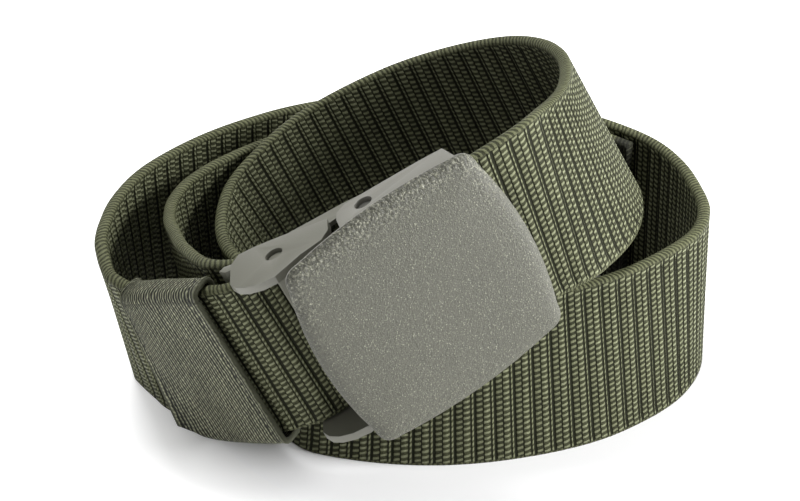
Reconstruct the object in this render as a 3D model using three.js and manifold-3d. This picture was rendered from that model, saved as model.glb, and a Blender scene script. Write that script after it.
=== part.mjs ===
// Canvas web belt, coiled and standing on its edge, with a flip buckle. Millimetres, +Z up.
import * as THREE from 'three';
import { mergeVertices } from 'three/addons/utils/BufferGeometryUtils.js';
import Module from 'manifold-3d';

const wasm = await Module();
wasm.setup();

// Web
const webWidth = 38;
const webThickness = 2.8;
const webEdgeRound = 0.7;
const coilHalfLength = 68;
const coilHalfDepth = 60;
const pressedIntoFloor = 0.35;

// Buckle
const coverLength = 46;
const coverHeight = 45.6;
const coverSideBulge = 2.4;
const coverTopBulge = 1.5;
const coverCornerRound = 4.2;
const coverThickness = 2.2;
const coverDome = 0.5;
const cheekThickness = 2;
const earExtra = 0.7;
const baseWallThickness = 1;
const buckleDepth = 24;
const pinHoleRadius = 2;
const pinRecess = 0.9;
const partGap = 0.3;

// Keeper loop
const keeperWall = 0.9;
const keeperFrontRoom = 1.8;
const keeperBackRoom = 0.4;
const keeperEdgeRoom = 0.6;

// Where the buckle hangs on the coil, and its turn in degrees
const buckleSeat = {
  x: 0.0853 * coilHalfLength,
  y: -1.2317 * coilHalfDepth,
  z: 1.2947 * webWidth,
};
const buckleYaw = 27.1;
const buckleRise = 24;
const buckleLean = 13.2;

const webEdgeInBuckle = webWidth / 2;
const baseWallInner = webEdgeInBuckle + partGap;
const baseWallOuter = baseWallInner + baseWallThickness;
const cheekInner = baseWallOuter + partGap;
const cheekOuter = cheekInner + cheekThickness;
const pinRadius = pinHoleRadius - partGap;

// Rows in the buckle: along and depth as shares of cover length and buckle depth
const fixedEndRows = [
  { along: -0.380, depth: 0.767 },
  { along: -0.511, depth: 0.758 },
  { along: -0.617, depth: 0.792 },
  { along: -0.698, depth: 0.888 },
];
const freeEndRows = [
  { along: 0.435, depth: 0.250 },
  { along: 0.217, depth: 0.400 },
  { along: 0.000, depth: 0.575 },
  { along: -0.196, depth: 0.767 },
  { along: -0.380, depth: 0.958 },
];

// Rows round the coil: x and y as shares of the coil's half length and half depth, z as a share of
// the web's width, tips as the degrees by which the web's upper edge leans to +X and to +Y
const coilRows = [
  { x: -0.459, y: -1.105, z: 0.789, tipX: -27, tipY: 4 },
  { x: -0.576, y: -0.983, z: 0.655, tipX: -30, tipY: 8 },
  { x: -0.712, y: -0.825, z: 0.505, tipX: -35, tipY: 12 },
  { x: -0.832, y: -0.680, z: 0.474, tipX: -25, tipY: 8 },
  { x: -0.894, y: -0.530, z: 0.489, tipX: -13, tipY: 4 },
  { x: -0.901, y: -0.375, z: 0.492, tipX: -9, tipY: 1 },
  { x: -0.887, y: -0.242, z: 0.492, tipX: -7, tipY: 1 },
  { x: -0.849, y: -0.092, z: 0.492, tipX: -4, tipY: 2 },
  { x: -0.785, y: 0.033, z: 0.492, tipX: -3, tipY: 2 },
  { x: -0.647, y: 0.210, z: 0.492, tipX: -2, tipY: 2 },
  { x: -0.497, y: 0.350, z: 0.492, tipX: 0, tipY: 1 },
  { x: -0.332, y: 0.450, z: 0.492, tipX: 0, tipY: 1 },
  { x: 0.000, y: 0.560, z: 0.492, tipX: 0, tipY: 0 },
  { x: 0.353, y: 0.535, z: 0.492, tipX: 0, tipY: 0 },
  { x: 0.662, y: 0.357, z: 0.492, tipX: 0, tipY: 0 },
  { x: 0.838, y: 0.190, z: 0.492, tipX: 0, tipY: 0 },
  { x: 0.919, y: 0.030, z: 0.492, tipX: 0, tipY: 0 },
  { x: 0.963, y: -0.147, z: 0.492, tipX: 0, tipY: 0 },
  { x: 0.978, y: -0.292, z: 0.492, tipX: 0, tipY: 0 },
  { x: 0.950, y: -0.458, z: 0.492, tipX: -1, tipY: 2 },
  { x: 0.856, y: -0.617, z: 0.492, tipX: -3, tipY: 5 },
  { x: 0.681, y: -0.785, z: 0.487, tipX: -2, tipY: 8 },
  { x: 0.518, y: -0.877, z: 0.484, tipX: -1, tipY: 10 },
  { x: 0.268, y: -0.953, z: 0.482, tipX: 0, tipY: 11 },
  { x: 0.063, y: -0.970, z: 0.482, tipX: 0, tipY: 11 },
  { x: -0.151, y: -0.937, z: 0.482, tipX: -1, tipY: 11 },
  { x: -0.301, y: -0.875, z: 0.482, tipX: -4, tipY: 11 },
  { x: -0.390, y: -0.767, z: 0.479, tipX: -11, tipY: 9 },
  { x: -0.419, y: -0.633, z: 0.474, tipX: -18, tipY: 5 },
  { x: -0.449, y: -0.483, z: 0.468, tipX: -23, tipY: 2 },
  { x: -0.460, y: -0.313, z: 0.479, tipX: -26, tipY: 1 },
  { x: -0.432, y: -0.092, z: 0.513, tipX: -27, tipY: 1 },
  { x: -0.360, y: 0.040, z: 0.579, tipX: -27, tipY: 1.5 },
  { x: -0.212, y: 0.207, z: 0.697, tipX: -27, tipY: 1.5 },
  { x: 0.056, y: 0.283, z: 0.921, tipX: -27, tipY: 1.5 },
  { x: 0.271, y: 0.260, z: 1.089, tipX: -27, tipY: 1.5 },
  { x: 0.469, y: 0.160, z: 1.250, tipX: -27, tipY: 1.5 },
  { x: 0.578, y: 0.020, z: 1.347, tipX: -27, tipY: 1.5 },
  { x: 0.631, y: -0.137, z: 1.405, tipX: -27, tipY: 1.5 },
  { x: 0.641, y: -0.305, z: 1.437, tipX: -27, tipY: 1.5 },
  { x: 0.612, y: -0.513, z: 1.479, tipX: -27, tipY: 1.5 },
  { x: 0.544, y: -0.712, z: 1.524, tipX: -27, tipY: 1.5 },
  { x: 0.449, y: -0.882, z: 1.555, tipX: -27, tipY: 1.5 },
];
const tailRows = [
  { x: -0.360, y: -1.010, z: 0.874, tipX: -26, tipY: 2 },
  { x: -0.474, y: -0.957, z: 0.797, tipX: -23, tipY: 3 },
  { x: -0.571, y: -0.775, z: 0.700, tipX: -19, tipY: 2 },
  { x: -0.635, y: -0.600, z: 0.616, tipX: -14, tipY: 1 },
  { x: -0.678, y: -0.433, z: 0.550, tipX: -11, tipY: 1 },
  { x: -0.691, y: -0.283, z: 0.518, tipX: -9, tipY: 1 },
  { x: -0.671, y: -0.150, z: 0.503, tipX: -6, tipY: 2 },
  { x: -0.612, y: -0.017, z: 0.495, tipX: -3, tipY: 2 },
  { x: -0.529, y: 0.093, z: 0.492, tipX: -2, tipY: 2 },
  { x: -0.446, y: 0.180, z: 0.492, tipX: 0, tipY: 2 },
  { x: -0.324, y: 0.283, z: 0.492, tipX: 0, tipY: 1 },
  { x: -0.118, y: 0.377, z: 0.492, tipX: 0, tipY: 0 },
  { x: 0.118, y: 0.417, z: 0.492, tipX: 0, tipY: 0 },
  { x: 0.353, y: 0.403, z: 0.492, tipX: 0, tipY: 0 },
  { x: 0.489, y: 0.367, z: 0.492, tipX: 0, tipY: 0 },
  { x: 0.623, y: 0.285, z: 0.492, tipX: 0, tipY: 0 },
  { x: 0.764, y: 0.164, z: 0.492, tipX: 0, tipY: 0 },
];

const degrees = (angle) => THREE.MathUtils.degToRad(angle);

// The buckle's own axes: X along the strap, Y into the belt, Z across the web
function buckleMatrix() {
  const along = new THREE.Vector3(
    Math.cos(degrees(buckleRise)) * Math.cos(degrees(buckleYaw)),
    Math.cos(degrees(buckleRise)) * Math.sin(degrees(buckleYaw)),
    Math.sin(degrees(buckleRise)),
  );
  const level = new THREE.Vector3(Math.sin(degrees(buckleYaw)), -Math.cos(degrees(buckleYaw)), 0);
  const across = new THREE.Vector3().crossVectors(level, along).applyAxisAngle(along, -degrees(buckleLean));
  const into = new THREE.Vector3().crossVectors(across, along);
  const matrix = new THREE.Matrix4().makeBasis(along, into, across);
  return matrix.setPosition(buckleSeat.x, buckleSeat.y, buckleSeat.z);
}

const toBuckle = buckleMatrix();

// The lean of the buckle's cross axis, in the same two angles as the coil's rows
function buckleTips() {
  const across = new THREE.Vector3().setFromMatrixColumn(toBuckle, 2);
  return {
    tipX: THREE.MathUtils.radToDeg(Math.atan2(across.x, across.z)),
    tipY: THREE.MathUtils.radToDeg(Math.atan2(across.y, across.z)),
  };
}

function stationInBuckle(row) {
  const place = new THREE.Vector3(row.along * coverLength, row.depth * buckleDepth, 0);
  return { place: place.applyMatrix4(toBuckle), ...buckleTips() };
}

function stationOnCoil(row) {
  const place = new THREE.Vector3(row.x * coilHalfLength, row.y * coilHalfDepth, row.z * webWidth);
  return { place, tipX: row.tipX, tipY: row.tipY };
}

// A smooth run through the stations: each step has a place, a direction, the web's up and its outward side
function smoothRun(stations, stepsPerRow) {
  const places = new THREE.CatmullRomCurve3(stations.map((s) => s.place), false, 'centripetal');
  const tips = new THREE.CatmullRomCurve3(
    stations.map((s) => new THREE.Vector3(s.tipX, s.tipY, 0)), false, 'catmullrom', 0.5,
  );
  const count = (stations.length - 1) * stepsPerRow;
  const steps = [];
  for (let i = 0; i <= count; i += 1) {
    const share = i / count;
    const ahead = places.getPoint(Math.min(share + 0.0005, 1));
    const behind = places.getPoint(Math.max(share - 0.0005, 0));
    const direction = ahead.sub(behind).normalize();
    const tip = tips.getPoint(share);
    const up = new THREE.Vector3(Math.tan(degrees(tip.x)), Math.tan(degrees(tip.y)), 1);
    up.addScaledVector(direction, -up.dot(direction)).normalize();
    const outward = new THREE.Vector3().crossVectors(up, direction);
    steps.push({ place: places.getPoint(share), direction, up, outward });
  }
  return steps;
}

// A solid from a closed skin, turned to face outward where its triangles run the other way
function solidFromTriangles(points, triangles) {
  const corner = (index) => new THREE.Vector3(points[3 * index], points[3 * index + 1], points[3 * index + 2]);
  let volume = 0;
  for (let i = 0; i < triangles.length; i += 3) {
    const sides = [corner(triangles[i]), corner(triangles[i + 1]), corner(triangles[i + 2])];
    volume += sides[0].dot(sides[1].cross(sides[2])) / 6;
  }
  const facing = volume < 0 ? Array.from(triangles).reverse() : triangles;
  const mesh = new wasm.Mesh({
    numProp: 3,
    vertProperties: Float32Array.from(points),
    triVerts: Uint32Array.from(facing),
  });
  mesh.merge();
  return new wasm.Manifold(mesh);
}

function solidFromGeometry(geometry) {
  const bare = geometry.clone();
  bare.deleteAttribute('normal');
  bare.deleteAttribute('uv');
  const merged = mergeVertices(bare, 1e-4);
  return solidFromTriangles(merged.attributes.position.array, merged.index.array);
}

// Skins a row of closed outlines with the same number of points, and closes both ends flat
function skinned(outlines) {
  const size = outlines[0].length;
  const points = outlines.flatMap((outline) => outline.flatMap((p) => [p.x, p.y, p.z]));
  const triangles = [];
  for (let i = 0; i + 1 < outlines.length; i += 1) {
    for (let j = 0; j < size; j += 1) {
      const a = i * size + j;
      const b = i * size + ((j + 1) % size);
      triangles.push(a, b, b + size, a, b + size, a + size);
    }
  }
  const last = (outlines.length - 1) * size;
  for (let j = 1; j + 1 < size; j += 1) {
    triangles.push(0, j + 1, j);
    triangles.push(last, last + j, last + j + 1);
  }
  return solidFromTriangles(points, triangles);
}

// A rectangle with rounded corners in the web's section: side is outward, rise is along the web's up
function roundedSection(outMin, outMax, riseMax, round, cornerSteps) {
  const corners = [
    { out: outMax - round, rise: riseMax - round, turn: 0 },
    { out: outMin + round, rise: riseMax - round, turn: 90 },
    { out: outMin + round, rise: round - riseMax, turn: 180 },
    { out: outMax - round, rise: round - riseMax, turn: 270 },
  ];
  return corners.flatMap((corner) => {
    const row = [];
    for (let k = 0; k <= cornerSteps; k += 1) {
      const angle = degrees(corner.turn + (90 * k) / cornerSteps);
      row.push({ out: corner.out + round * Math.cos(angle), rise: corner.rise + round * Math.sin(angle) });
    }
    return row;
  });
}

function sweptSection(steps, section) {
  return skinned(steps.map((step) => section.map((s) => step.place.clone()
    .addScaledVector(step.outward, s.out)
    .addScaledVector(step.up, s.rise))));
}

// A flat outline in the buckle's along and depth plane, made thick across the web
function plateAcross(outline, from, to) {
  const shape = new THREE.Shape(outline.map((p) => new THREE.Vector2(p.along * coverLength, p.depth * buckleDepth)));
  const geometry = new THREE.ExtrudeGeometry(shape, { depth: to - from, bevelEnabled: false });
  geometry.translate(0, 0, from);
  return solidFromGeometry(geometry);
}

function pinAcross(place, radius, from, to) {
  const geometry = new THREE.CylinderGeometry(radius, radius, to - from, 24);
  geometry.rotateX(Math.PI / 2);
  geometry.translate(place.along * coverLength, place.depth * buckleDepth, (from + to) / 2);
  return solidFromGeometry(geometry);
}

function joined(solids) {
  return solids.reduce((sum, solid) => sum.add(solid));
}

// The same solid on the lower side of the buckle
function mirroredAcross(solid) {
  return solid.mirror([0, 0, 1]);
}

// The cover's outline drawn in by an inset: bulging sides between rounded corners, at one depth
function coverOutline(inset, depth) {
  const halfAlong = coverLength / 2 - inset;
  const halfAcross = coverHeight / 2 - inset;
  const round = Math.max(coverCornerRound - inset, 1.2);
  const sides = [
    { along: 1, across: 0, bulge: coverSideBulge },
    { along: 0, across: 1, bulge: coverTopBulge },
    { along: -1, across: 0, bulge: coverSideBulge },
    { along: 0, across: -1, bulge: coverTopBulge },
  ];
  const shape = new THREE.Shape();
  sides.forEach((side, i) => {
    const turnAlong = -side.across;
    const turnAcross = side.along;
    const middle = { x: side.along * halfAlong, y: side.across * halfAcross };
    const reach = (side.along ? halfAcross : halfAlong) - round;
    const from = { x: middle.x - turnAlong * reach, y: middle.y - turnAcross * reach };
    const to = { x: middle.x + turnAlong * reach, y: middle.y + turnAcross * reach };
    if (i === 0) {
      shape.moveTo(from.x, from.y);
    }
    const swell = 2 * side.bulge;
    shape.quadraticCurveTo(middle.x + side.along * swell, middle.y + side.across * swell, to.x, to.y);
    const corner = { x: to.x + turnAlong * round, y: to.y + turnAcross * round };
    const next = { x: corner.x - side.along * round, y: corner.y - side.across * round };
    shape.quadraticCurveTo(corner.x, corner.y, next.x, next.y);
  });
  const points = shape.getPoints(8);
  points.pop();
  return points.map((p) => new THREE.Vector3(p.x, depth, p.y));
}

// Rows of the cover plate from its back to the middle of its front: inset as a share of the cover's
// length, depth as a share of its thickness, dome as a share of the dome's height
const coverRings = [
  { inset: 0.011, depth: 1.00, dome: 0 },
  { inset: 0.000, depth: 0.86, dome: 0 },
  { inset: 0.000, depth: 0.66, dome: 0 },
  { inset: 0.008, depth: 0.43, dome: 0 },
  { inset: 0.024, depth: 0.23, dome: 0 },
  { inset: 0.050, depth: 0.09, dome: 0 },
  { inset: 0.091, depth: 0.00, dome: 0 },
  { inset: 0.196, depth: 0.00, dome: 0.7 },
  { inset: 0.348, depth: 0.00, dome: 1 },
];

// Outlines and hinges in the buckle: along and depth as shares of cover length and buckle depth
const coverHinge = { along: 0.0000, depth: 0.3417 };
const clampHinge = { along: -0.4348, depth: 0.6375 };

const coverCheekOutline = [
  { along: -0.1870, depth: 0.0667 },
  { along: -0.1565, depth: 0.1917 },
  { along: -0.1391, depth: 0.3583 },
  { along: -0.1130, depth: 0.4667 },
  { along: -0.0630, depth: 0.5167 },
  { along: 0.0457, depth: 0.4875 },
  { along: 0.3065, depth: 0.3958 },
  { along: 0.4239, depth: 0.3375 },
  { along: 0.4326, depth: 0.0667 },
];
const coverCamOutline = [
  { along: -0.0783, depth: 0.0500 },
  { along: -0.0630, depth: 0.4000 },
  { along: -0.0261, depth: 0.4583 },
  { along: 0.0130, depth: 0.4417 },
  { along: 0.0609, depth: 0.3500 },
  { along: 0.0783, depth: 0.0500 },
];
const earOutline = [
  { along: -0.6696, depth: 0.6333 },
  { along: -0.6609, depth: 0.5083 },
  { along: -0.6304, depth: 0.4083 },
  { along: -0.5739, depth: 0.3167 },
  { along: -0.5043, depth: 0.2708 },
  { along: -0.3543, depth: 0.3417 },
  { along: -0.2413, depth: 0.3458 },
  { along: -0.1870, depth: 0.4333 },
  { along: -0.1522, depth: 0.6167 },
  { along: -0.3543, depth: 0.8500 },
  { along: -0.4783, depth: 0.9750 },
  { along: -0.5478, depth: 1.0167 },
  { along: -0.6087, depth: 0.9250 },
];
const baseWallOutline = [
  { along: -0.6217, depth: 0.6083 },
  { along: -0.5783, depth: 0.4250 },
  { along: -0.2609, depth: 0.3167 },
  { along: -0.2391, depth: 0.5833 },
  { along: -0.1130, depth: 0.5833 },
  { along: -0.0870, depth: 0.2750 },
  { along: 0.2739, depth: 0.1917 },
  { along: 0.3130, depth: 0.3000 },
  { along: 0.2957, depth: 0.5250 },
  { along: -0.0652, depth: 0.7583 },
  { along: -0.3043, depth: 0.8667 },
  { along: -0.5217, depth: 0.9500 },
];
const bridgeOutline = [
  { along: -0.4957, depth: 0.4000 },
  { along: -0.2087, depth: 0.2917 },
  { along: -0.2087, depth: 0.3667 },
  { along: -0.4826, depth: 0.4750 },
];
const baseFloorOutline = [
  { along: 0.2696, depth: 0.4583 },
  { along: 0.2783, depth: 0.5250 },
  { along: -0.0609, depth: 0.7583 },
  { along: -0.0696, depth: 0.7167 },
];
const clampBackOutline = [
  { along: -0.4130, depth: 0.8375 },
  { along: -0.5217, depth: 0.8375 },
  { along: -0.6435, depth: 0.9375 },
  { along: -0.6609, depth: 1.0167 },
  { along: -0.6304, depth: 1.0375 },
  { along: -0.5130, depth: 0.8958 },
  { along: -0.4130, depth: 0.8875 },
];
const endClampOutline = [
  { along: -0.4761, depth: 0.5917 },
  { along: -0.4348, depth: 0.5625 },
  { along: -0.3522, depth: 0.5917 },
  { along: -0.3391, depth: 0.6417 },
  { along: -0.3522, depth: 0.6917 },
  { along: -0.4761, depth: 0.6917 },
  { along: -0.4870, depth: 0.6417 },
];

function buckleCover() {
  const plate = skinned(coverRings.map((ring) => coverOutline(
    ring.inset * coverLength, ring.depth * coverThickness - ring.dome * coverDome,
  )));
  const hole = pinAcross(coverHinge, pinHoleRadius, cheekInner - 1, cheekOuter + 1);
  const cheek = plateAcross(coverCheekOutline, cheekInner, cheekOuter).subtract(hole);
  const cam = plateAcross(coverCamOutline, partGap - webEdgeInBuckle, webEdgeInBuckle - partGap);
  return joined([plate, cheek, mirroredAcross(cheek), cam]);
}

function buckleBase() {
  const earOuter = baseWallOuter + earExtra;
  const coverHole = pinAcross(coverHinge, pinHoleRadius, baseWallInner - 1, earOuter + 1);
  const clampHole = pinAcross(clampHinge, pinHoleRadius, baseWallInner - 1, earOuter + 1);
  const wall = plateAcross(baseWallOutline, baseWallInner, baseWallOuter);
  const ear = plateAcross(earOutline, baseWallInner, earOuter);
  const side = wall.add(ear).subtract(coverHole).subtract(clampHole);
  const crossOutlines = [bridgeOutline, baseFloorOutline, clampBackOutline];
  const crossBars = crossOutlines.map((outline) => plateAcross(outline, -baseWallOuter, baseWallOuter));
  return joined([side, mirroredAcross(side), ...crossBars]);
}

// The end clamp turns on trunnions of its own that reach into the ears' holes
function endClamp() {
  const reach = baseWallOuter + earExtra - pinRecess;
  const plate = plateAcross(endClampOutline, partGap - baseWallInner, baseWallInner - partGap);
  const trunnion = pinAcross(clampHinge, pinRadius, baseWallInner - 0.4, reach);
  return joined([plate, trunnion, mirroredAcross(trunnion)]);
}

function coverPin() {
  return pinAcross(coverHinge, pinRadius, baseWallInner, cheekOuter - pinRecess);
}

const stepsPerRow = 4;
const stations = [
  ...fixedEndRows.map(stationInBuckle),
  ...coilRows.map(stationOnCoil),
  ...freeEndRows.map(stationInBuckle),
  ...tailRows.map(stationOnCoil),
];
const run = smoothRun(stations, stepsPerRow);
const keeperFirstRow = 4;
const keeperLastRow = 6.25;

function webStrap() {
  const half = webThickness / 2;
  const section = roundedSection(-half, half, webWidth / 2, webEdgeRound, 1);
  return sweptSection(run, section).translate([0, 0, -pressedIntoFloor]).trimByPlane([0, 0, 1], 0);
}

function elasticKeeper() {
  const first = keeperFirstRow * stepsPerRow;
  const last = keeperLastRow * stepsPerRow;
  const innerBack = -webThickness / 2 - keeperBackRoom;
  const innerFront = webThickness / 2 + keeperFrontRoom;
  const innerRise = webWidth / 2 + keeperEdgeRoom;
  const outerSection = roundedSection(
    innerBack - keeperWall, innerFront + keeperWall, innerRise + keeperWall, keeperWall + 1.2, 3,
  );
  const innerSection = roundedSection(innerBack, innerFront, innerRise, 1.2, 3);
  const outer = sweptSection(run.slice(first, last + 1), outerSection);
  const inner = sweptSection(run.slice(first - 1, last + 2), innerSection);
  return outer.subtract(inner).translate([0, 0, -pressedIntoFloor]).trimByPlane([0, 0, 1], 0);
}

function inPlace(solid) {
  return solid.transform(toBuckle.toArray()).translate([0, 0, -pressedIntoFloor]);
}

const webLook = { color: 0x4a4e36, roughness: 0.9, metalness: 0 };
const keeperLook = { color: 0x5d6149, roughness: 0.92, metalness: 0 };
const plasticLook = { color: 0x7c7d68, roughness: 0.55, metalness: 0 };
const pinLook = { color: 0x55563f, roughness: 0.5, metalness: 0 };

function named(name, solid, look) {
  const mesh = solid.getMesh();
  const geometry = new THREE.BufferGeometry();
  geometry.setAttribute('position', new THREE.BufferAttribute(Float32Array.from(mesh.vertProperties), 3));
  geometry.setIndex(new THREE.BufferAttribute(Uint32Array.from(mesh.triVerts), 1));
  geometry.computeVertexNormals();
  const part = new THREE.Mesh(geometry, new THREE.MeshStandardMaterial(look));
  part.name = name;
  return part;
}

const group = new THREE.Group();
group.name = 'canvas_web_belt';
group.add(
  named('web_strap', webStrap(), webLook),
  named('elastic_keeper', elasticKeeper(), keeperLook),
  named('buckle_cover', inPlace(buckleCover()), plasticLook),
  named('buckle_base', inPlace(buckleBase()), plasticLook),
  named('end_clamp', inPlace(endClamp()), plasticLook),
  named('cover_pin_upper', inPlace(coverPin()), pinLook),
  named('cover_pin_lower', inPlace(mirroredAcross(coverPin())), pinLook),
);

// The middle of the belt's box stands on the origin
const box = new THREE.Box3().setFromObject(group);
const middle = box.getCenter(new THREE.Vector3());
group.children.forEach((part) => part.geometry.translate(-middle.x, -middle.y, -box.min.z));

export default group;
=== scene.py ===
"""Canvas web belt, coiled and standing on its edge, closed by a flip buckle.

Lengths are millimetres. The belt stands on z = 0 and its front faces -Y.
"""

import math

import bmesh
import bpy
import numpy as np
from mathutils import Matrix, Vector


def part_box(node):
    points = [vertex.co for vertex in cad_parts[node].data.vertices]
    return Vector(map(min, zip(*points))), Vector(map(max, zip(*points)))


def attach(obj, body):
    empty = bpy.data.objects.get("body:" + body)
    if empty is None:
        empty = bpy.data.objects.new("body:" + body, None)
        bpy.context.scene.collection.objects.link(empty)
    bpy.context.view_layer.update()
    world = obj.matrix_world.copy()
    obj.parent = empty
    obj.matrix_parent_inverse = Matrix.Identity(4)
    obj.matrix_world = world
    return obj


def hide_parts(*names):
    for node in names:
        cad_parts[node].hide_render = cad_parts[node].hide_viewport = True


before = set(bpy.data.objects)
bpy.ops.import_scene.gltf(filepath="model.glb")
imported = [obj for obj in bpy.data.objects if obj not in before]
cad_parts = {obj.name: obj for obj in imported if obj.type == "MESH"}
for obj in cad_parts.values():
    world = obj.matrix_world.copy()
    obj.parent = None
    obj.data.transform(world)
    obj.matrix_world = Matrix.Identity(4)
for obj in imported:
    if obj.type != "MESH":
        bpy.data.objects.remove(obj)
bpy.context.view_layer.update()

MM = 0.001

# Camera: the height that it aims at over the coil's middle, its distance from there and its rise in degrees
VIEW_AIM_HEIGHT = 15
VIEW_DISTANCE = 727
VIEW_ELEVATION = 32
VIEW_LENS = 144
SENSOR_WIDTH = 36

# Table and light: the table glows as painted light that lifts the coil's shadow on it. The glow begins
# between two distances from a point right of its middle
TABLE_REACH = 2000
GLOW_MIDDLE = 16
GLOW_FROM = 56
GLOW_TO = 82
GLOW_STRENGTH = 0.60
SKY_STRENGTH = 0.29

# Coil and web. The loose end, hidden in the coil, is painted dark as shade between two distances from its tip
COIL_HALF_LENGTH = 68
COIL_HALF_DEPTH = 60
WEB_WIDTH = 38
WEB_THICKNESS = 2.8
WEB_EDGE_REACH = 0.9
WEB_STEP = 0.42
WEB_COLUMNS = 19
EDGE_STEPS = 7
STEPS_PER_ROW = 24
RIB_PERIOD = 4.2
RIB_RELIEF = 0.42
LOOP_PITCH = 1.25
END_SHADE_FROM = 5.0
END_SHADE_TO = 2.5

# Keeper loop
KEEPER_FIRST_ROW = 4
KEEPER_LAST_ROW = 6.25
KEEPER_WALL = 0.9
KEEPER_FRONT_ROOM = 1.8
KEEPER_BACK_ROOM = 0.4
KEEPER_EDGE_ROOM = 0.6
KEEPER_RIB = 0.85
KEEPER_STEP = 0.6
KEEPER_CORNER = 1.2
KEEPER_RIM_REACH = 0.42
KEEPER_RIM_SWELL = 0.55
KEEPER_RIM_FADE = (0.2, 1.1)
KEEPER_RIM_MARK = 2.0
KEEPER_GROOVE = 0.10
KEEPER_GROOVE_NEAR = (0.9, 1.2)
KEEPER_GROOVE_FAR = (2.0, 2.6)
KEEPER_STEPS_AROUND = 150
KEEPER_STEPS_ALONG = 45

# Buckle: its seat as shares of the coil's half length and half depth and of the web's width, its turn
# in degrees, and the cover's hinge as a share of the buckle's depth
COVER_LENGTH = 46
BUCKLE_DEPTH = 24
BUCKLE_SEAT = (0.0853, -1.2317, 1.2947)
BUCKLE_YAW = 27.1
BUCKLE_RISE = 24
BUCKLE_LEAN = 13.2
COVER_HINGE_DEPTH = 0.3417
BUCKLE_EDGE = 0.28
SMALL_EDGE = 0.2
EDGE_ANGLE = 32
FLAT_ANGLE = 1

# Where the plate's grained face ends and its rounding begins, in depth, and its upper side, in the way
# across. The upper rounding carries the painted glints and painted shade of the grain
PLATE_FACE_END = (1.5, 1.7)
PLATE_ROUNDING = (-0.1, 0.3)
PLATE_UPPER_SIDE = (8, 16)

# The web's route in the buckle: along and depth as shares of the cover's length and the buckle's depth
FIXED_END_ROWS = ((-0.380, 0.767), (-0.511, 0.758), (-0.617, 0.792), (-0.698, 0.888))
FREE_END_ROWS = ((0.435, 0.250), (0.217, 0.400), (0.000, 0.575), (-0.196, 0.767), (-0.380, 0.958))

# The web's route round the coil: x and y as shares of the coil's half length and half depth, z as a
# share of the web's width, then the degrees by which the web's upper edge leans to +X and to +Y
COIL_ROWS = (
    (-0.459, -1.105, 0.789, -27, 4), (-0.576, -0.983, 0.655, -30, 8), (-0.712, -0.825, 0.505, -35, 12),
    (-0.832, -0.680, 0.474, -25, 8), (-0.894, -0.530, 0.489, -13, 4), (-0.901, -0.375, 0.492, -9, 1),
    (-0.887, -0.242, 0.492, -7, 1), (-0.849, -0.092, 0.492, -4, 2), (-0.785, 0.033, 0.492, -3, 2),
    (-0.647, 0.210, 0.492, -2, 2), (-0.497, 0.350, 0.492, 0, 1), (-0.332, 0.450, 0.492, 0, 1),
    (0.000, 0.560, 0.492, 0, 0), (0.353, 0.535, 0.492, 0, 0), (0.662, 0.357, 0.492, 0, 0),
    (0.838, 0.190, 0.492, 0, 0), (0.919, 0.030, 0.492, 0, 0), (0.963, -0.147, 0.492, 0, 0),
    (0.978, -0.292, 0.492, 0, 0), (0.950, -0.458, 0.492, -1, 2), (0.856, -0.617, 0.492, -3, 5),
    (0.681, -0.785, 0.487, -2, 8), (0.518, -0.877, 0.484, -1, 10), (0.268, -0.953, 0.482, 0, 11),
    (0.063, -0.970, 0.482, 0, 11), (-0.151, -0.937, 0.482, -1, 11), (-0.301, -0.875, 0.482, -4, 11),
    (-0.390, -0.767, 0.479, -11, 9), (-0.419, -0.633, 0.474, -18, 5), (-0.449, -0.483, 0.468, -23, 2),
    (-0.460, -0.313, 0.479, -26, 1), (-0.432, -0.092, 0.513, -27, 1), (-0.360, 0.040, 0.579, -27, 1.5),
    (-0.212, 0.207, 0.697, -27, 1.5), (0.056, 0.283, 0.921, -27, 1.5), (0.271, 0.260, 1.089, -27, 1.5),
    (0.469, 0.160, 1.250, -27, 1.5), (0.578, 0.020, 1.347, -27, 1.5), (0.631, -0.137, 1.405, -27, 1.5),
    (0.641, -0.305, 1.437, -27, 1.5), (0.612, -0.513, 1.479, -27, 1.5), (0.544, -0.712, 1.524, -27, 1.5),
    (0.449, -0.882, 1.555, -27, 1.5),
)
TAIL_ROWS = (
    (-0.360, -1.010, 0.874, -26, 2), (-0.474, -0.957, 0.797, -23, 3), (-0.571, -0.775, 0.700, -19, 2),
    (-0.635, -0.600, 0.616, -14, 1), (-0.678, -0.433, 0.551, -11, 1), (-0.691, -0.283, 0.518, -9, 1),
    (-0.671, -0.150, 0.503, -6, 2), (-0.612, -0.017, 0.495, -3, 2), (-0.529, 0.093, 0.492, -2, 2),
    (-0.446, 0.180, 0.492, 0, 2), (-0.324, 0.283, 0.492, 0, 1), (-0.118, 0.377, 0.492, 0, 0),
    (0.118, 0.417, 0.492, 0, 0), (0.353, 0.403, 0.492, 0, 0), (0.489, 0.367, 0.492, 0, 0),
    (0.623, 0.285, 0.492, 0, 0), (0.764, 0.164, 0.492, 0, 0),
)

# Colours
# Painted shade and painted highlight of the web's weave, with its yarn colour between
WEB_SHADE = (0.011, 0.012, 0.005, 1)
WEB_YARN = (0.112, 0.118, 0.062, 1)
WEB_LIGHT = (0.275, 0.290, 0.180, 1)
# Painted shade on the web's loose end, hidden in the coil
WEB_END_SHADE = (0.010, 0.010, 0.008, 1)
# Painted shade and painted highlight of the keeper's cords, with their yarn colour between
KEEPER_SHADE = (0.012, 0.013, 0.008, 1)
KEEPER_YARN = (0.165, 0.170, 0.108, 1)
KEEPER_LIGHT = (0.400, 0.410, 0.270, 1)
KEEPER_RIM_OLIVE = (0.085, 0.088, 0.056, 1)
PLATE_GREYS = ((0.066, 0.066, 0.049, 1), (0.080, 0.080, 0.060, 1))
CHEEK_GREYS = ((0.205, 0.202, 0.174, 1), (0.235, 0.231, 0.202, 1))
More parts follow.
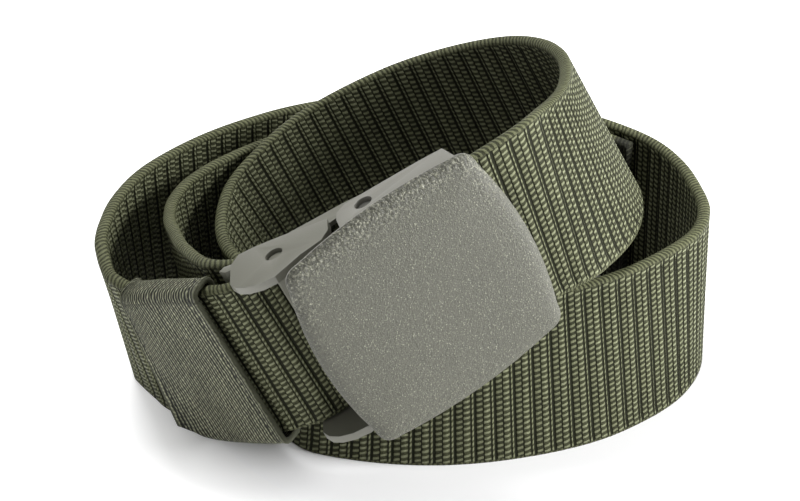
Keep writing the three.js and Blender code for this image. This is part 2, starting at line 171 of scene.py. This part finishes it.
# Painted shade: the frame darker than the cheeks, for its place behind and beside the cover
SHADED_FRAME_GREY = (0.155, 0.154, 0.124, 1)
# Dark specks of the grain, and painted shade in the pits of the plate's upper rounding
SPECK_AND_PIT_SHADE_GREY = (0.040, 0.040, 0.030, 1)
# Light specks of the grain, and painted glints on the plate's upper rounding
SPECK_AND_GLINT_GREY = (0.44, 0.44, 0.33, 1)
STEEL_GREYS = ((0.070, 0.070, 0.062, 1), (0.125, 0.125, 0.110, 1))
TABLE_GREYS = ((0.86, 0.86, 0.87, 1), (0.89, 0.89, 0.90, 1))
BLACK = (0, 0, 0, 1)
WHITE = (1, 1, 1, 1)


def unit(rows):
    """Each row divided by its own length."""
    return rows / np.linalg.norm(rows, axis=-1, keepdims=True)


def eased(value, low, high):
    """0 below low and 1 above high, with a smooth step between."""
    share = np.clip((value - low) / (high - low), 0, 1)
    return share * share * (3 - 2 * share)


def buckle_axes():
    """The buckle's directions along the strap, into the belt and across the web. Along is turned by the
    yaw and raised by the rise. Across is square to it and leans about it. Into is square to both."""
    yaw, rise, lean = np.radians([BUCKLE_YAW, BUCKLE_RISE, BUCKLE_LEAN])
    along = np.array([math.cos(rise) * math.cos(yaw), math.cos(rise) * math.sin(yaw), math.sin(rise)])
    level = np.array([math.sin(yaw), -math.cos(yaw), 0])
    across = np.cross(level, along) * math.cos(lean) - level * math.sin(lean)
    return along, np.cross(across, along), across


def hinge_place():
    """The middle of the cover's hinge: halfway between the boxes of its two pins."""
    corners = [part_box(pin) for pin in ("cover_pin_upper", "cover_pin_lower")]
    return np.array(corners, float).mean(axis=(0, 1)) / MM


# Where the buckle and the coil lie in the frame, found from the cover's pins
ALONG, INTO, ACROSS = buckle_axes()
COIL_SIZES = np.array([COIL_HALF_LENGTH, COIL_HALF_DEPTH, WEB_WIDTH])
BUCKLE_PLACE = hinge_place() - COVER_HINGE_DEPTH * BUCKLE_DEPTH * INTO
COIL_MIDDLE = BUCKLE_PLACE - np.array(BUCKLE_SEAT) * COIL_SIZES


class Varying:
    """A number that varies over a surface. A sum or product on it adds its Math node."""

    def __init__(self, finish, socket):
        self.finish = finish
        self.socket = socket

    def __add__(self, other):
        return self.finish.maths("ADD", self, other)

    __radd__ = __add__

    def __sub__(self, other):
        return self.finish.maths("SUBTRACT", self, other)

    def __rsub__(self, other):
        return self.finish.maths("SUBTRACT", other, self)

    def __mul__(self, other):
        return self.finish.maths("MULTIPLY", self, other)

    __rmul__ = __mul__

    def __truediv__(self, other):
        return self.finish.maths("DIVIDE", self, other)


class Finish:
    """A material made of nodes, with short words for the nodes that the belt's finishes share."""

    def __init__(self, name):
        self.material = bpy.data.materials.new(name)
        self.material.use_nodes = True
        self.tree = self.material.node_tree
        self.tree.nodes.clear()

    def add(self, kind, settings=None, sockets=None):
        """A node of that kind: its settings are set first, then its sockets get values or links."""
        node = self.tree.nodes.new(kind)
        for key, value in (settings or {}).items():
            setattr(node, key, value)
        for key, value in (sockets or {}).items():
            source = value.socket if isinstance(value, Varying) else value
            if isinstance(source, bpy.types.NodeSocket):
                self.tree.links.new(source, node.inputs[key])
            else:
                node.inputs[key].default_value = source
        return node

    def maths(self, operation, *values):
        """The Math node's result for the values."""
        node = self.add("ShaderNodeMath", {"operation": operation}, dict(enumerate(values)))
        return Varying(self, node.outputs[0])

    def parts(self, vector):
        """The three numbers of a vector."""
        node = self.add("ShaderNodeSeparateXYZ", sockets={0: vector})
        return [Varying(self, node.outputs[i]) for i in range(3)]

    def carried(self, name):
        """A vector that the mesh carries at its points."""
        return self.add("ShaderNodeAttribute", {"attribute_name": name}).outputs["Vector"]

    def place(self):
        """The point's place in the object, in metres."""
        return self.add("ShaderNodeTexCoord").outputs["Object"]

    def grown(self, value, low, high):
        """0 below low and 1 above high, eased between."""
        node = self.add("ShaderNodeMapRange", {"interpolation_type": "SMOOTHSTEP"},
                        {"Value": value, "From Min": low, "From Max": high})
        return Varying(self, node.outputs["Result"])

    def band(self, value, low, high, soft):
        """1 between low and high, eased to 0 outside over soft."""
        return self.grown(value, low - soft, low) * (1 - self.grown(value, high, high + soft))

    def wave(self, turns):
        """A cosine from 0 to 1, once a turn."""
        return self.maths("COSINE", turns * (2 * math.pi)) * 0.5 + 0.5

    def noise(self, vector, scale, detail=2.0, rough=0.5):
        """Cloudy noise from 0 to 1, with scale blots to one unit of the vector."""
        node = self.add("ShaderNodeTexNoise", {}, {
            "Vector": vector, "Scale": scale, "Detail": detail, "Roughness": rough})
        return Varying(self, node.outputs[0])

    def spread(self, vector, stretch):
        """The vector with each of its numbers multiplied."""
        node = self.add("ShaderNodeVectorMath", {"operation": "MULTIPLY"}, {0: vector, 1: stretch})
        return node.outputs[0]

    def blended(self, share, first, second):
        """The first colour at share 0 and the second at share 1."""
        node = self.add("ShaderNodeMix", {"data_type": "RGBA"}, {0: share, 6: first, 7: second})
        return node.outputs[2]

    def raised(self, height, reach):
        """A normal that shows the height, where 1 stands reach millimetres proud."""
        node = self.add("ShaderNodeBump", {}, {"Strength": 1.0, "Distance": reach * MM, "Height": height})
        return node.outputs["Normal"]

    def finished(self, sockets):
        """The material, with its surface made from the sockets' values."""
        surface = self.add("ShaderNodeBsdfPrincipled", {}, sockets)
        out = self.add("ShaderNodeOutputMaterial")
        self.tree.links.new(surface.outputs[0], out.inputs["Surface"])
        return self.material


def web_finish(length):
    """Dark olive web. Each rib period has a narrow dotted chain, a bright column of ovals across the rib,
    a dimmer column of links between them, and a dark groove. The colours follow the relief, with painted
    shade in the hollows and painted highlight on the tops. The loose end is painted darker, as shade for its
    place hidden in the coil."""
    web = Finish("olive_web")
    weave = web.carried("weave")
    along, across, side = web.parts(weave)
    loose = web.noise(weave, 0.55, 2.0, 0.5) - 0.5
    phase = web.maths("FRACT", along / RIB_PERIOD)
    turns = across / LOOP_PITCH + loose * 0.35
    chain = web.band(phase, 0.05, 0.10, 0.05)
    rib = web.band(phase, 0.23, 0.50, 0.06)
    low_rib = web.band(phase, 0.61, 0.85, 0.06)
    stitches = web.grown(web.wave(turns + phase * 2.0), 0.15, 0.70)
    ovals = web.grown(web.wave(turns + phase * 0.6), 0.24, 0.92)
    links = web.grown(web.wave(turns + 0.5 + phase * 0.6), 0.25, 0.90)
    edge = web.grown(web.maths("ABSOLUTE", across), WEB_WIDTH / 2 - 1.2, WEB_WIDTH / 2 - 0.7)
    knots = web.grown(web.wave(along / 1.05 + side * 0.5 + loose * 0.9), 0.10, 0.90)
    hairs = web.noise(web.spread(weave, (1.6, 3.6, 1.0)), 2.8, 3.0, 0.7)
    body = chain * (0.42 + 0.58 * stitches) + rib * (0.28 + 0.72 * ovals) + low_rib * (0.22 + 0.64 * links)
    height = body * (1 - edge) + edge * (0.26 + 0.36 * knots)
    patches = web.noise(weave, 0.11, 2.0, 0.5) - 0.5
    # The colour follows the relief: painted shade in the grooves and between the loops, painted highlight on
    # the loops
    tone = height * 0.9 + (hairs - 0.5) * 0.62 + patches * 0.16
    yarn = web.blended(web.grown(tone, 0.06, 0.58), WEB_SHADE, WEB_YARN)
    woven = web.blended(web.grown(tone, 0.48, 1.20), yarn, WEB_LIGHT)
    # Painted shade: the hidden loose end darkens towards its tip
    end_shade = web.grown(along, length - END_SHADE_FROM, length - END_SHADE_TO)
    colour = web.blended(end_shade * 0.85, woven, WEB_END_SHADE)
    return web.finished({
        "Base Color": colour,
        "Roughness": 0.72 - 0.20 * height,
        "Specular IOR Level": 0.14,
        "Normal": web.raised(height + hairs * 0.25, 0.5),
    })


def keeper_finish():
    """Grey olive elastic: fine uneven cords round the loop, each twisted, a rim and a row of slits."""
    band = Finish("olive_elastic")
    weave = band.carried("weave")
    around, along, rim = band.parts(weave)
    stray = band.noise(band.spread(weave, (0.5, 1.0, 1.0)), 0.9, 2.0, 0.5) - 0.5
    cords = band.grown(band.wave(along / KEEPER_RIB + stray * 0.9), 0.15, 0.90)
    twist = band.wave(around / 1.1 + along * 0.5 + stray)
    hairs = band.noise(band.spread(weave, (1.0, 3.6, 1.0)), 2.6, 3.0, 0.65)
    slits = band.band(rim, 0.16, 0.26, 0.06) * band.grown(band.wave(around / 1.9), 0.35, 0.8)
    height = cords * (0.62 + 0.38 * twist) * (1 - 0.7 * slits)
    # The colour follows the relief: painted shade in the hollows and slits, painted highlight on the cords'
    # tops
    tone = height * 0.85 + (hairs - 0.5) * 0.6 + (band.noise(weave, 0.16, 2.0, 0.5) - 0.5) * 0.25
    yarn = band.blended(band.grown(tone, 0.12, 0.62), KEEPER_SHADE, KEEPER_YARN)
    cord = band.blended(band.grown(tone, 0.55, 1.0), yarn, KEEPER_LIGHT)
    colour = band.blended(band.grown(rim, 0.78, 0.92) * 0.70, cord, KEEPER_RIM_OLIVE)
    return band.finished({
        "Base Color": colour,
        "Roughness": 0.72 - 0.16 * cords,
        "Specular IOR Level": 0.22,
        "Normal": band.raised(height + hairs * 0.3, 0.42),
    })


def plastic_finish():
    """Warm grey-green moulded plastic: the plate's face has a fine sparkling grain, coarser where it
    rounds over to its upper side, where painted glints and painted shade in the grain show the light catching
    it.
    The cheeks are smooth and a little lighter, and the frame is painted a little darker, as shade behind and
    beside the cover."""
    shell = Finish("grey_green_plastic")
    spot = shell.place()
    grained, rounding, framed = shell.parts(shell.carried("finish"))
    fine = shell.noise(spot, 3200.0, 2.0, 0.6)
    leather = shell.add("ShaderNodeTexVoronoi", {"feature": "F1"}, {"Vector": spot, "Scale": 1300.0})
    pebbles = 1 - Varying(shell, leather.outputs["Distance"])
    broad = shell.noise(spot, 60.0, 3.0, 0.55)
    crumbs = shell.noise(spot, 1700.0, 2.0, 0.6)
    light_speck = shell.grown(fine, 0.57, 0.74) * grained * 0.45
    dark_speck = shell.grown(fine, 0.46, 0.30) * grained
    # Painted light on the upper rounding: glints are painted highlight, pits painted shade
    glint = shell.grown(crumbs, 0.53, 0.66) * rounding * grained
    pit_shade = shell.grown(crumbs, 0.47, 0.36) * rounding * grained
    grain = fine * 0.9 + pebbles * (0.35 + 0.9 * rounding)
    base = shell.blended(broad, *PLATE_GREYS)
    cheek = shell.blended(broad, *CHEEK_GREYS)
    # Painted shade: the frame is darker than the cheeks, for its place behind and beside the cover
    smooth = shell.blended(framed, cheek, SHADED_FRAME_GREY)
    body = shell.blended(grained, smooth, base)
    # Dark specks of the grain, and the pits' painted shade
    dimmed = shell.blended(dark_speck * 0.7 + pit_shade * 0.6, body, SPECK_AND_PIT_SHADE_GREY)
    # Light specks of the grain, and the glints' painted highlight
    colour = shell.blended(light_speck + glint * 0.34, dimmed, SPECK_AND_GLINT_GREY)
    return shell.finished({
        "Base Color": colour,
        "Roughness": 0.40 + 0.12 * grained - 0.15 * light_speck,
        "Specular IOR Level": 0.5,
        "Normal": shell.raised(grain * grained + fine * 0.10, 0.17),
    })


def pin_finish():
    """Dull dark steel of the pins, worn a little lighter in patches."""
    pin = Finish("dull_steel")
    spot = pin.place()
    worn = pin.noise(spot, 900.0, 3.0, 0.6)
    colour = pin.blended(worn, *STEEL_GREYS)
    return pin.finished({
        "Base Color": colour,
        "Roughness": 0.45 + 0.15 * worn,
        "Metallic": 0.7,
        "Normal": pin.raised(worn, 0.05),
    })


def floor_finish():
    """Plain pale table, faintly mottled, with a painted glow that lifts the coil's shadow. The glow begins
    outside the coil, sooner on the left.
    """
    table = Finish("pale_table")
    spot = table.place()
    mottle = table.noise(spot, 6.0, 2.0, 0.5)
    middle = (-GLOW_MIDDLE * MM, 0, 0)
    shifted = table.add("ShaderNodeVectorMath", {"operation": "ADD"}, {0: spot, 1: middle})
    length = table.add("ShaderNodeVectorMath", {"operation": "LENGTH"}, {0: shifted.outputs[0]})
    reach = Varying(table, length.outputs["Value"])
    # Painted light: the table's glow lifts the coil's shadow and stays off close round the coil
    glow = table.grown(reach, GLOW_FROM * MM, GLOW_TO * MM)
    glow_colour = table.blended(glow, BLACK, WHITE)
    colour = table.blended(mottle, *TABLE_GREYS)
    return table.finished({
        "Base Color": colour,
        "Roughness": 0.7 + 0.1 * mottle,
        "Specular IOR Level": 0.1,
        "Emission Color": glow_colour,
        "Emission Strength": GLOW_STRENGTH,
    })


def smooth_line(rows, steps):
    """A Catmull-Rom curve through the rows. The share of the way between two rows runs with the square
    root of their distance, and past each end the line goes on as far as the row next to it."""
    ends = np.vstack([2 * rows[0] - rows[1], rows, 2 * rows[-1] - rows[-2]])
    gaps = np.sqrt(np.linalg.norm(np.diff(ends[:, :3], axis=0), axis=1))
    before, here, after = gaps[:-2, None, None], gaps[1:-1, None, None], gaps[2:, None, None]
    p0, p1, p2, p3 = (ends[i:len(ends) - 3 + i, None, :] for i in range(4))
    t = np.linspace(0, 1, steps, endpoint=False)[None, :, None] * here
    a1 = (-t * p0 + (t + before) * p1) / before
    a2 = ((here - t) * p1 + t * p2) / here
    a3 = ((here + after - t) * p2 + (t - here) * p3) / after
    b1 = ((here - t) * a1 + (t + before) * a2) / (here + before)
    b2 = ((here + after - t) * a2 + t * a3) / (here + after)
    line = ((here - t) * b1 + t * b2) / here
    return np.vstack([line.reshape(-1, rows.shape[1]), rows[-1:]])


def rows_in_buckle(rows):
    """Places in the frame: the buckle's place plus the shares along and into it. The lean is that of
    the buckle's cross direction."""
    along, depth = np.array(rows).T[..., None]
    place = BUCKLE_PLACE + along * COVER_LENGTH * ALONG + depth * BUCKLE_DEPTH * INTO
    lean = np.degrees(np.arctan2(ACROSS[:2], ACROSS[2]))
    return np.hstack([place, np.broadcast_to(lean, (len(rows), 2))])


def rows_on_coil(rows):
    """Places in the frame: the coil's middle plus the shares of its sizes. The lean is the rows' own."""
    rows = np.array(rows)
    return np.hstack([COIL_MIDDLE + rows[:, :3] * COIL_SIZES, rows[:, 3:]])


def strap_rows():
    """The middle of the web, row by row from the end held in the buckle to the hidden loose end, to the
    nearest tenth of a millimetre and of a degree."""
    rows = [rows_in_buckle(FIXED_END_ROWS), rows_on_coil(COIL_ROWS),
            rows_in_buckle(FREE_END_ROWS), rows_on_coil(TAIL_ROWS)]
    return np.vstack(rows).round(1)


def strap_run(step):
    """The web's middle line at even steps of its length, with the web's upward and outward directions.
    Upward is the rows' lean made square to the line, and outward is square to both."""
    dense = smooth_line(strap_rows(), STEPS_PER_ROW)
    lengths = np.concatenate([[0], np.cumsum(np.linalg.norm(np.diff(dense[:, :3], axis=0), axis=1))])
    count = int(round(lengths[-1] / step)) + 1
    at = np.linspace(0, lengths[-1], count)
    line = np.stack([np.interp(at, lengths, dense[:, k]) for k in range(5)], axis=1)
    place = line[:, :3]
    ahead = unit(np.gradient(place, axis=0))
    lean = np.radians(line[:, 3:])
    up = np.stack([np.tan(lean[:, 0]), np.tan(lean[:, 1]), np.ones(count)], axis=1)
    up = unit(up - np.sum(up * ahead, axis=1, keepdims=True) * ahead)
    return {"at": at, "place": place, "up": up, "outward": np.cross(up, ahead), "lengths": lengths}


def rib_height(at):
    """Height of the ribs from 0 to 1 along the web. Each period has a narrow ridge, a wide one and a low
    one, each a step up times a step down."""
    phase = np.mod(at / RIB_PERIOD, 1)
    chain = eased(phase, 0.00, 0.06) * (1 - eased(phase, 0.10, 0.17))
    rib = eased(phase, 0.17, 0.27) * (1 - eased(phase, 0.48, 0.58))
    low_rib = eased(phase, 0.55, 0.64) * (1 - eased(phase, 0.80, 0.90))
    return 0.9 * chain + rib + 0.5 * low_rib


def quads_of(rows, ring, closed):
    """Corner numbers of the quads of a grid whose rows are rings. A closed grid joins its last row to its
    first."""
    i = np.arange(rows if closed else rows - 1)[:, None]
    j = np.arange(ring)[None, :]
    next_row = np.mod(i + 1, rows) * ring
    next_point = np.mod(j + 1, ring)
    corners = [i * ring + j, i * ring + next_point, next_row + next_point, next_row + j]
    return np.stack([np.broadcast_to(c, (len(i), ring)) for c in corners], axis=-1).reshape(-1, 4)


def mesh_piece(name, points, faces, material, carried=None):
    """An object from points in millimetres and its faces, shaded smooth. Its points carry the named
    vectors."""
    mesh = bpy.data.meshes.new(name)
    mesh.from_pydata((points * MM).tolist(), [], [list(f) for f in faces])
    for label, values in (carried or {}).items():
        layer = mesh.attributes.new(label, "FLOAT_VECTOR", "POINT")
        layer.data.foreach_set("vector", np.ascontiguousarray(values, np.float32).ravel())
    mesh.shade_smooth()
    mesh.materials.append(material)
    piece = bpy.data.objects.new(name, mesh)
    bpy.context.scene.collection.objects.link(piece)
    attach(piece, "root")
    return piece


def outward_faces(piece):
    """Turns the faces of a closed piece to point outwards."""
    work = bmesh.new()
    work.from_mesh(piece.data)
    bmesh.ops.recalc_face_normals(work, faces=work.faces)
    work.to_mesh(piece.data)
    work.free()
    return piece


def web_strap(material):
    """The strap: at each step of its length, a ring of points round the web's section. A point is the
    middle line's place, plus outward times its height, plus upward times its way across. The two faces
    are columns half the thickness out, set in by the ribs' hollows. The edges are half ellipses, and
    nothing goes below the floor."""
    run = strap_run(WEB_STEP)
    flat_half = WEB_WIDTH / 2 - WEB_EDGE_REACH
    columns = np.linspace(-flat_half, flat_half, WEB_COLUMNS)
    bend = np.radians(np.linspace(90, -90, EDGE_STEPS)[1:-1])
    face = np.ones(WEB_COLUMNS)
    across = np.concatenate([columns[::-1], -flat_half - WEB_EDGE_REACH * np.cos(bend),
                             columns, flat_half + WEB_EDGE_REACH * np.cos(bend)])
    side = np.concatenate([face, np.sin(bend), -face, -np.sin(bend)])
    fade = eased(flat_half - np.abs(across), -0.1, 1.0) * np.abs(side)
    hollow = RIB_RELIEF * (1 - rib_height(run["at"]))[:, None] * fade[None, :]
    out = side[None, :] * (WEB_THICKNESS / 2 - hollow)
    points = (run["place"][:, None, :] + run["outward"][:, None, :] * out[..., None]
              + run["up"][:, None, :] * across[None, :, None])
    points[..., 2] = np.maximum(points[..., 2], 0.0)
    rows, ring = out.shape
    weave = np.stack(np.broadcast_arrays(run["at"][:, None], across[None, :], side[None, :]), axis=-1)
    faces = quads_of(rows, ring, False).tolist()
    faces += [list(range(ring))[::-1], list(range((rows - 1) * ring, rows * ring))]
    strap = mesh_piece("strap_web", points.reshape(-1, 3), faces, material, {"weave": weave.reshape(-1, 3)})
    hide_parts("web_strap")
    return outward_faces(strap)


def keeper_loop():
    """The inner way round the keeper: a rounded rectangle about the web's section, cut into even steps.
    Returns the length round to each step, its outward and upward places and its turn, and the whole way."""
    back = -WEB_THICKNESS / 2 - KEEPER_BACK_ROOM
    front = WEB_THICKNESS / 2 + KEEPER_FRONT_ROOM
    rise = WEB_WIDTH / 2 + KEEPER_EDGE_ROOM
    quarter = np.linspace(0, 90, EDGE_STEPS)
    turn = np.radians(np.concatenate([corner + quarter for corner in (0, 90, 180, 270)]))
    low_out, high_out = back + KEEPER_CORNER, front - KEEPER_CORNER
    high_up = rise - KEEPER_CORNER
    out = np.repeat([high_out, low_out, low_out, high_out], EDGE_STEPS) + KEEPER_CORNER * np.cos(turn)
    up = np.repeat([high_up, high_up, -high_up, -high_up], EDGE_STEPS) + KEEPER_CORNER * np.sin(turn)
    stops = np.concatenate([[0], np.cumsum(np.hypot(np.diff(out), np.diff(up)))])
    total = stops[-1] + math.hypot(out[0] - out[-1], up[0] - up[-1])
    around = np.linspace(0, total, KEEPER_STEPS_AROUND, endpoint=False)
    closed = (np.append(out, out[0]), np.append(up, up[0]), np.append(turn, turn[0] + 2 * math.pi))
    out, up, turn = (np.interp(around, np.append(stops, total), values) for values in closed)
    return around, out, up, turn, total


def keeper_wall(first, last):
    """The section of the keeper's wall, from its first place along the web to its last. The outer face
    and the inner face run in even steps between half ellipses at the rims. A point's height is half the
    wall, more by the rim's swell within about a millimetre of a rim, and less in the groove beside it."""
    share = np.linspace(0, 1, KEEPER_STEPS_ALONG)
    bend = np.radians(np.linspace(90, -90, EDGE_STEPS)[1:-1])
    half_wall = KEEPER_WALL / 2
    face = np.full(KEEPER_STEPS_ALONG, half_wall)
    at = np.concatenate([first + (last - first) * share, last + KEEPER_RIM_REACH * np.cos(bend),
                         first + (last - first) * share[::-1], first - KEEPER_RIM_REACH * np.cos(bend)])
    proud = np.concatenate([face, half_wall * np.sin(bend), -face, -half_wall * np.sin(bend)])
    from_rim = np.minimum(at - first, last - at)
    groove = eased(from_rim, *KEEPER_GROOVE_NEAR) * (1 - eased(from_rim, *KEEPER_GROOVE_FAR))
    proud = proud * (1 + KEEPER_RIM_SWELL * (1 - eased(from_rim, *KEEPER_RIM_FADE)))
    proud = proud * (1 - KEEPER_GROOVE * groove)
    return at, half_wall + proud, from_rim


def elastic_keeper(material):
    """The keeper: its wall's section carried round the loop, and the loop carried along the web. A point
    is the web's place, plus outward and upward times the loop's own, each with the wall's height added
    along the loop's turn. Nothing goes below the floor."""
    run = strap_run(KEEPER_STEP)
    first, last = (run["lengths"][round(STEPS_PER_ROW * row)] for row in (KEEPER_FIRST_ROW, KEEPER_LAST_ROW))
    around, loop_out, loop_up, turn, total = keeper_loop()
    at, reach, from_rim = keeper_wall(first, last)
    place, upward, outward = (
        np.stack([np.interp(at, run["at"], run[key][:, axis]) for axis in range(3)], axis=1)[None]
        for key in ("place", "up", "outward"))
    out = loop_out[:, None] + np.cos(turn)[:, None] * reach[None, :]
    up = loop_up[:, None] + np.sin(turn)[:, None] * reach[None, :]
    points = place + outward * out[..., None] + upward * up[..., None]
    points[..., 2] = np.maximum(points[..., 2], 0.0)
    rim_mark = np.clip(1 - from_rim / KEEPER_RIM_MARK, 0, 1)
    weave = np.stack(np.broadcast_arrays(around[:, None], (at - first)[None, :], rim_mark[None, :]), axis=-1)
    faces = quads_of(len(around), len(at), True)
    carried = {"weave": weave.reshape(-1, 3)}
    keeper = mesh_piece("keeper_loop", points.reshape(-1, 3), faces, material, carried)
    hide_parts("elastic_keeper")
    float(last - first) * MM
    return outward_faces(keeper)


def moulded_copy(name, node, material, edge):
    """A copy of a rigid node with its doubles merged, flat faces joined and its edges rounded. It carries
    how far each point belongs to the cover plate's grained face, to the plate's rounding and to the frame,
    by its depth in the buckle and its way across it."""
    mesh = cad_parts[node].data.copy()
    mesh.name = name
    work = bmesh.new()
    work.from_mesh(mesh)
    bmesh.ops.remove_doubles(work, verts=work.verts, dist=1e-6)
    bmesh.ops.dissolve_limit(work, angle_limit=math.radians(FLAT_ANGLE), verts=work.verts, edges=work.edges)
    work.to_mesh(mesh)
    work.free()
    co = np.zeros(len(mesh.vertices) * 3, np.float32)
    mesh.vertices.foreach_get("co", co)
    from_seat = co.reshape(-1, 3) / MM - BUCKLE_PLACE
    depth = from_seat @ INTO
    across = from_seat @ ACROSS
    is_cover = float(node == "buckle_cover")
    grained = is_cover * (1 - eased(depth, *PLATE_FACE_END))
    # The rounding's mark is strongest on the upper side, where the plate's painted glints and painted shade
    # lie
    upper = 0.15 + 0.85 * eased(across, *PLATE_UPPER_SIDE)
    rounding = is_cover * eased(depth, *PLATE_ROUNDING) * upper
    framed = np.full(len(depth), 1 - is_cover)
    marks = np.stack([grained, rounding, framed], axis=1)
    layer = mesh.attributes.new("finish", "FLOAT_VECTOR", "POINT")
    layer.data.foreach_set("vector", marks.astype(np.float32).ravel())
    mesh.materials.clear()
    mesh.materials.append(material)
    mesh.shade_smooth()
    piece = bpy.data.objects.new(name, mesh)
    bpy.context.scene.collection.objects.link(piece)
    bevel = piece.modifiers.new("rounded_edges", "BEVEL")
    bevel.width = edge * MM
    bevel.segments = 3
    bevel.limit_method = "ANGLE"
    bevel.angle_limit = math.radians(EDGE_ANGLE)
    bevel.harden_normals = True
    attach(piece, "root")
    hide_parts(node)
    return piece


def soft_box(name, place, aim, size, power):
    """A square studio light that faces its aim. Places and size are in metres."""
    light = bpy.data.lights.new(name, "AREA")
    light.shape = "SQUARE"
    light.size = size
    light.energy = power
    lamp = bpy.data.objects.new(name, light)
    lamp.location = place
    lamp.rotation_mode = "QUATERNION"
    lamp.rotation_quaternion = (Vector(aim) - Vector(place)).to_track_quat("-Z", "Y")
    bpy.context.scene.collection.objects.link(lamp)


def studio():
    """The camera at the photographed angle, a pale floor, a white sky, a key light on the right and a
    weaker light above the back."""
    scene = bpy.context.scene
    camera = bpy.data.cameras.new("camera")
    camera.lens = VIEW_LENS
    camera.sensor_width = SENSOR_WIDTH
    camera.clip_start = 0.05
    camera.clip_end = 20
    seat = bpy.data.objects.new("camera", camera)
    rise = math.radians(VIEW_ELEVATION)
    aim = Vector(COIL_MIDDLE) + Vector((0, 0, VIEW_AIM_HEIGHT))
    place = aim + VIEW_DISTANCE * Vector((0, -math.cos(rise), math.sin(rise)))
    seat.location = place * MM
    seat.rotation_mode = "QUATERNION"
    seat.rotation_quaternion = (aim - place).to_track_quat("-Z", "Y")
    scene.collection.objects.link(seat)
    scene.camera = seat

    corners = np.array([(-1, -1, 0), (1, -1, 0), (1, 1, 0), (-1, 1, 0)]) * TABLE_REACH * MM
    mesh = bpy.data.meshes.new("table")
    mesh.from_pydata(corners.tolist(), [], [(0, 1, 2, 3)])
    mesh.materials.append(floor_finish())
    table = bpy.data.objects.new("table", mesh)
    scene.collection.objects.link(table)

    world = bpy.data.worlds.new("studio")
    world.use_nodes = True
    world.node_tree.nodes["Background"].inputs["Color"].default_value = WHITE
    world.node_tree.nodes["Background"].inputs["Strength"].default_value = SKY_STRENGTH
    scene.world = world
    scene.view_settings.view_transform = "Standard"
    soft_box("key", (0.80, -0.13, 0.40), (0, 0, 0.03), 0.46, 15.5)
    soft_box("top", (-0.16, 0.42, 0.80), (0, 0.02, 0.03), 0.45, 9.0)


studio()
web_strap(web_finish(float(strap_run(WEB_STEP)["at"][-1])))
elastic_keeper(keeper_finish())
plastic = plastic_finish()
moulded_copy("cover", "buckle_cover", plastic, BUCKLE_EDGE)
moulded_copy("base", "buckle_base", plastic, BUCKLE_EDGE)
moulded_copy("clamp", "end_clamp", plastic, SMALL_EDGE)
pins = pin_finish()
moulded_copy("pin_upper", "cover_pin_upper", pins, SMALL_EDGE)
moulded_copy("pin_lower", "cover_pin_lower", pins, SMALL_EDGE)
